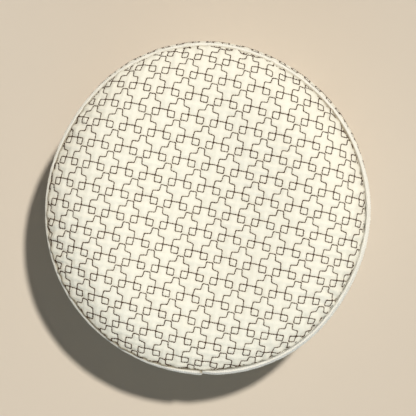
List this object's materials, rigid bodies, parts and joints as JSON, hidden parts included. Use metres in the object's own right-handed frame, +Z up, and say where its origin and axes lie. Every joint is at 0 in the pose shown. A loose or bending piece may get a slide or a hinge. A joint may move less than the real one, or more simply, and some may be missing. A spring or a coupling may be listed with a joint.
{
  "type": "quilted prayer cap",
  "caption": "Round soft prayer cap: a low domed crown quilted with crosses and small squares, piping in its seam, and an upright quilted band round the head.",
  "frame": {"origin": "on the floor, under the middle of the rim's oval, which is the middle of the cap's box", "axes": "+Z up through the crown, the front of the cap towards -Y, the back, where piping and band are joined, towards +Y, +X to the cap's left as it is worn"},
  "size_m": [0.1812, 0.1848, 0.0873],
  "materials": {
    "crown_cotton": "matt cream cotton, machine quilted with dark brown thread in rows of crosses and small squares",
    "piping_cotton": "matt cream cotton strip gathered round a cord",
    "band_cotton": "matt cream cotton, quilted as the crown is, with a plain turned hem"
  },
  "bodies": {
    "root": {"crown": "crown_cotton", "crown_piping": "piping_cotton", "side_band": "band_cotton"}
  },
  "joints": []
}
